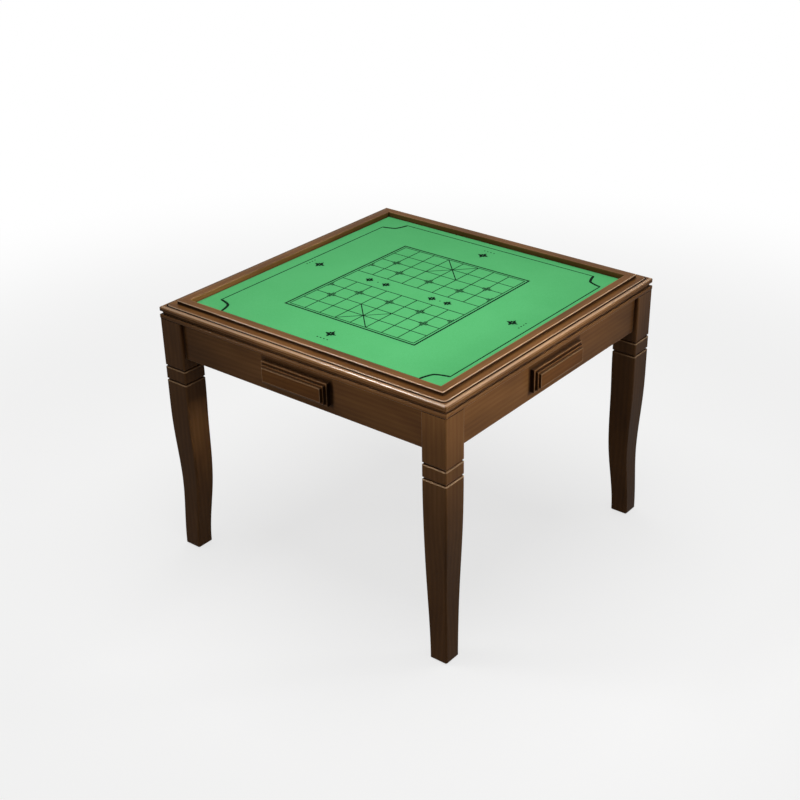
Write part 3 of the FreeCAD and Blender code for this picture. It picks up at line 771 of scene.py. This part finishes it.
seat_dot_steps = (-16.5, -5.5, 5.5, 16.5)
seat_dot_radius = 2.3

ink, tree, shader = new_material("dark_green_screen_ink")
place = add(tree, "TexCoord").outputs["Object"]
cloth = add(tree, "TexNoise", {"Scale": 1 / nap_size, "Detail": 3.0}, {"Vector": place})
inked = add(tree, "ValToRGB", {"stops": [(0.45, ink_dark), (0.80, ink_thin)]},
            {"Fac": cloth.outputs["Fac"]})
soaked = add(tree, "Bump", {"Strength": 0.4, "Distance": ink_soak},
             {"Height": cloth.outputs["Fac"]})
set_node(shader, {"Roughness": 0.7, "Specular IOR Level": 0.03},
         {"Base Color": inked.outputs[0], "Normal": soaked.outputs[0]})


def stroke(path, half_width, closed=False):
    """A flat stroke of ink along a path: at each point, the path plus and minus the mean of its
    two sides' normals, lengthened at a corner by 1 / cos(half the turn), times the half width."""
    path = np.asarray(path, float)
    ahead = np.roll(path, -1, 0) - path
    if not closed:
        ahead[-1] = ahead[-2]
    ahead /= np.linalg.norm(ahead, axis=1, keepdims=True)
    behind = np.roll(ahead, 1, 0)
    if not closed:
        behind[0] = ahead[0]
    normal = np.stack([-ahead[:, 1] - behind[:, 1], ahead[:, 0] + behind[:, 0]], 1)
    normal /= (normal ** 2).sum(1, keepdims=True) / 2
    reach = normal * np.broadcast_to(half_width, len(path))[:, None]
    low = np.full((len(path), 1), sheet_high.z / mm - cut_droop / mm)
    high = np.full((len(path), 1), (sheet_high.z + ink_lift) / mm)
    left, right = path + reach, path - reach
    section = np.stack([np.hstack([left, high]), np.hstack([right, high]),
                        np.hstack([right, low]), np.hstack([left, low])], 1)
    if closed:
        section = np.concatenate([section, section[:1]])
    faces = grid_quads(len(section), 4, True)
    if not closed:
        end = 4 * (len(section) - 1)
        caps = [[0, 3, 2, 1], [end, end + 1, end + 2, end + 3]]
        faces = np.concatenate([faces, caps])
    return section.reshape(-1, 3) * mm, faces


def print_piece(name, strokes):
    """All strokes of one part of the print, as one piece on the baize."""
    starts = np.cumsum([0] + [len(points) for points, faces in strokes])
    make_piece(name, np.concatenate([points for points, faces in strokes]),
               np.concatenate([faces + start for (points, faces), start in zip(strokes, starts)]),
               ink)


def bracket():
    """From one border line to the other round an indented corner: two quadratic curves that are
    each other's mirror image in the corner's diagonal."""
    t = np.linspace(0, 1, 15)[:, None]
    pull, inner = np.array(bracket_pull), np.array(bracket_inner)
    first = 2 * t * (1 - t) * pull + t ** 2 * inner
    second = bracket_size - first[::-1, ::-1]
    return np.concatenate([first, second[1:]])


def border_path():
    """The border anticlockwise, each corner's bracket turned to its place."""
    steps = bracket()
    inward, onward = steps[:, 0], steps[:, 1] - bracket_size
    half = np.array(border_half)
    first = np.stack([half[0] - inward, half[1] + onward], 1)
    corner_sets = [first, first[::-1] * (-1, 1), first * (-1, -1), first[::-1] * (1, -1)]
    return np.concatenate(corner_sets) + border_middle


def rosette(middle, long_petal, short_petal, petal_width):
    """Eight petals round a point, long and short in turn, each as wide as sin(pi * share of its
    length), and a hair wider, so that its tip is never a point."""
    t = np.linspace(0.12, 1, 9)
    wide = petal_width / 2 * np.sin(math.pi * t) + 0.05
    turns = [math.pi / 4 * i for i in range(8)]
    return [stroke(np.outer(t * (short_petal if i % 2 else long_petal),
                            (math.cos(turn), math.sin(turn))) + middle, wide)
            for i, turn in enumerate(turns)]


def dot(middle, radius):
    """A round dot: a short stroke as wide as sqrt(radius^2 - distance^2)."""
    t = np.sin(np.linspace(-1, 1, 11) * math.pi / 2 * 0.98)
    return stroke(np.stack([t * radius, 0 * t], 1) + middle, radius * np.sqrt(1 - t ** 2))


columns = grid_middle[0] + column_spacing * (np.arange(9) - 4)
near_rows = grid_middle[1] - river_half - row_spacing * np.arange(5)
far_rows = grid_middle[1] + river_half + row_spacing * np.arange(5)
low_x, high_x, low_y, high_y = columns[0], columns[-1], near_rows[-1], far_rows[-1]
rectangle = np.array([(low_x, low_y), (high_x, low_y), (high_x, high_y), (low_x, high_y)])
outward = np.array([(-1, -1), (1, -1), (1, 1), (-1, 1)]) * frame_gap
bracket_widths = np.full(len(bracket()), bracket_line)
bracket_widths[[0, -1]] = border_line
print_piece("printed_border",
            [stroke(border_path(), np.tile(bracket_widths, 4) / 2, closed=True)])
grid_strokes = [stroke(rectangle + outward, frame_line / 2, closed=True),
                stroke(rectangle, grid_line / 2, closed=True)]
for y in (*near_rows[:-1], *far_rows[:-1]):     # the last rows are the rectangle's own sides
    grid_strokes.append(stroke([(low_x, y), (high_x, y)], grid_line / 2))
for x in columns[1:-1]:
    for rows in (near_rows, far_rows):
        grid_strokes.append(stroke([(x, rows[0]), (x, rows[-1])], grid_line / 2))
for rows in (near_rows, far_rows):
    for start, end in ((3, 5), (5, 3)):         # the two diagonals of a palace
        grid_strokes.append(stroke([(columns[start], rows[2]), (columns[end], rows[4])],
                                   grid_line / 2))
print_piece("printed_grid", grid_strokes)

mark_strokes = []
for rows in (near_rows, far_rows):
    for column, row in marked_points:
        for across in (-1, 1):
            if (column, across) in ((0, -1), (8, 1)):       # outside the grid
                continue
            for up in (-1, 1):
                hook = np.array([(mark_gap + mark_leg, mark_gap), (mark_gap, mark_gap),
                                 (mark_gap, mark_gap + mark_leg)]) * (across, up)
                mark_strokes.append(stroke(hook + (columns[column], rows[row]), mark_line / 2))
print_piece("printed_marks", mark_strokes)

ornament_strokes = []
for x in river_rosettes:
    ornament_strokes += rosette((x, grid_middle[1]), *river_petals)
for x in river_dots:
    ornament_strokes.append(dot((x, grid_middle[1]), river_dot_radius))
quarter_turn = np.array([(0, -1), (1, 0)])
for turns in range(4):
    facing = np.linalg.matrix_power(quarter_turn, turns)
    ornament_strokes += rosette(facing @ (seat_rosette_reach, 0), *seat_petals)
    for step in seat_dot_steps:
        ornament_strokes.append(dot(facing @ (seat_dots_reach, step), seat_dot_radius))
print_piece("printed_ornaments", ornament_strokes)

# ---------------------------------------------------------------------------------------------
# Drawers: lacquered overlay fronts with a stepped edge, and bare rubberwood boxes with plywood
# bottoms. Each runs on two L-shaped runners hung under the top. Painted shade darkens the edges of
# the front's lip, step and panel, and their arrises carry faint pale lines, partly wear and partly
# painted highlight.
front_stain = ("#3f240e", "#603b18", "#774d22")     # dark, middle and light, warmer than the rest
# dark lines of painted shade round the front's lip, step and panel, and pale lines of wear and
# painted highlight on their arrises
# each line's inset from the front's outline, half width and strength
painted_shade_edges = ((0.0 * mm, 0.5 * mm, 0.85), (6.0 * mm, 0.8 * mm, 0.8), (12.0 * mm, 0.8 * mm, 0.7))
worn_and_highlit_arrises = ((1.5 * mm, 0.9 * mm, 0.15), (7.5 * mm, 0.8 * mm, 0.05),
                  (13.5 * mm, 0.9 * mm, 0.20))
front_lacquer = {
    grain: stained_lacquer("walnut_stained_front_glazed_edges", grain, front_line,
                           [(grain, *line) for line in worn_and_highlit_arrises],
                           [(grain, *line) for line in painted_shade_edges], haze=0.03,
                           stain=front_stain)
    for grain in "xy"}
for side, grain in side_grains.items():
    drawer = "drawer_" + side
    dress([drawer + "_front"], front_lacquer[grain])
    dress([drawer + "_back"], bare_wood[grain])
    dress([drawer + "_right_side", drawer + "_left_side", "drawer_runners_" + side],
          bare_wood["y" if grain == "x" else "x"])
    dress([drawer + "_bottom"], plywood)
    dress([drawer + "_stop_pegs"], bare_wood["z"])
dress(["runner_cross_ties", "runner_rear_stops"], bare_wood["x"])

# ---------------------------------------------------------------------------------------------
# Floor and light: a plain pale studio floor and a white backdrop, a wide soft light overhead, low
# soft lights at the right and at the front left, and narrow strips that draw a highlight along
# the mouldings. Lengths are in metres.
floor_shade = "#6e6e6d"     # what diffuse light meets, so that little bounces up at the table
floor_pale = "#f8f8f7"
floor_white = "#fbfbfa"
plain_white = "#ffffff"
mottles_per_metre = 1.2
fade_start = 1.4            # from here the floor's shadow fades out, and the floor is white
fade_end = 3.2
shadow_lift = 0.72
ambient_strength = 0.17


def seen_directly(tree):
    """1 for rays from the camera and for mirrored or refracted ones, and 0 for diffuse light."""
    paths = add(tree, "LightPath")
    glossy = add(tree, "Math", {"operation": "MAXIMUM"},
                 {0: paths.outputs["Is Glossy Ray"], 1: paths.outputs["Is Transmission Ray"]})
    return add(tree, "Math", {"operation": "MAXIMUM"},
               {0: paths.outputs["Is Camera Ray"], 1: glossy.outputs[0]}).outputs[0]


floor_material, tree, shader = new_material("pale_studio_floor")
place = add(tree, "TexCoord").outputs["Object"]
seen = seen_directly(tree)
mottle = add(tree, "TexNoise", {"Scale": mottles_per_metre, "Detail": 2.0}, {"Vector": place})
pale = add(tree, "ValToRGB", {"stops": [(0.3, floor_pale), (0.7, floor_white)]},
           {"Fac": mottle.outputs["Fac"]})
shade = add(tree, "Mix", {"data_type": "RGBA", 6: linear(floor_shade)},
            {0: seen, 7: pale.outputs[0]})
distance = add(tree, "VectorMath", {"operation": "LENGTH"}, {0: place})
far = add(tree, "MapRange", {"interpolation_type": "SMOOTHSTEP", "From Min": fade_start,
                             "From Max": fade_end, "To Min": shadow_lift, "To Max": 1.0},
          {"Value": distance.outputs["Value"]})
whitened = add(tree, "Math", {"operation": "MULTIPLY"}, {0: far.outputs[0], 1: seen})
white = add(tree, "Emission", {"Color": linear(plain_white), "Strength": 1.0})
lit = add(tree, "MixShader", links={0: whitened.outputs[0], 1: shader.outputs[0],
                                    2: white.outputs[0]})
set_node(shader, {"Roughness": 0.9, "Specular IOR Level": 0.0}, {"Base Color": shade.outputs[2]})
set_node(tree.nodes["Material Output"], links={"Surface": lit.outputs[0]})
bpy.ops.mesh.primitive_plane_add(size=60)
floor = bpy.context.object
floor.name = "studio_floor"
floor.data.materials.append(floor_material)

world = bpy.data.worlds.new("studio")
bpy.context.scene.world = world
world.use_nodes = True
tree = world.node_tree
tree.nodes.clear()
ambient = add(tree, "Background", {"Color": linear(plain_white), "Strength": ambient_strength})
backdrop = add(tree, "Background", {"Color": linear(plain_white), "Strength": 1.0})
mixed = add(tree, "MixShader", links={0: seen_directly(tree), 1: ambient.outputs[0],
                                      2: backdrop.outputs[0]})
add(tree, "OutputWorld", links={"Surface": mixed.outputs[0]})


def soft_light(name, place, target, width, height, power, spread=180):
    """A rectangular area light at a place, turned to a target, its beam spread in degrees."""
    lamp = bpy.data.lights.new(name, "AREA")
    lamp.shape = "RECTANGLE"
    lamp.size, lamp.size_y, lamp.energy = width, height, power
    lamp.spread = math.radians(spread)
    holder = bpy.data.objects.new(name, lamp)
    bpy.context.scene.collection.objects.link(holder)
    holder.location = place
    holder.rotation_euler = (Vector(target) - Vector(place)).to_track_quat("-Z", "Y").to_euler()


soft_light("overhead_softbox", place=(0, 0, 3.4), target=(0, 0, 0.7),
           width=2.6, height=2.6, power=71)
soft_light("right_softbox", place=(2.5, 0.3, 1.05), target=(0.47, -0.2, 0.82),
           width=1.1, height=0.3, power=1.5, spread=21)
soft_light("front_left_strip", place=(-1.20, -1.30, 2.70), target=(0.30, -0.50, 0.80),
           width=1.2, height=0.16, power=0.55, spread=24)
soft_light("front_left_card", place=(-1.05, -1.95, 0.8), target=(0.36, -0.47, 0.92),
           width=0.9, height=0.3, power=1.15, spread=21)
soft_light("back_right_strip", place=(2.0, 1.5, 1.9), target=(0.47, 0, 0.76),
           width=0.5, height=0.16, power=0.5, spread=34)

# ---------------------------------------------------------------------------------------------
# Camera: looks down at the front right corner from 30 degrees, with a short telephoto lens that
# is shifted to set the table in the frame.
camera_azimuth = math.radians(36.79)
camera_elevation = math.radians(29.68)
camera_place = (2.161, -2.702, 2.232)
lens = 62.4                 # millimetres, as is the sensor's width
sensor = 36.0
shift = (-0.0664, 0.0601)
back = Vector((math.sin(camera_azimuth) * math.cos(camera_elevation),
               -math.cos(camera_azimuth) * math.cos(camera_elevation),
               math.sin(camera_elevation)))
eye = bpy.data.cameras.new("studio_camera")
eye.lens, eye.sensor_width = lens, sensor
eye.shift_x, eye.shift_y = shift
camera = bpy.data.objects.new("studio_camera", eye)
bpy.context.scene.collection.objects.link(camera)
camera.location = camera_place
camera.rotation_euler = back.to_track_quat("Z", "Y").to_euler()
bpy.context.scene.camera = camera
bpy.context.scene.view_settings.view_transform = "Standard"
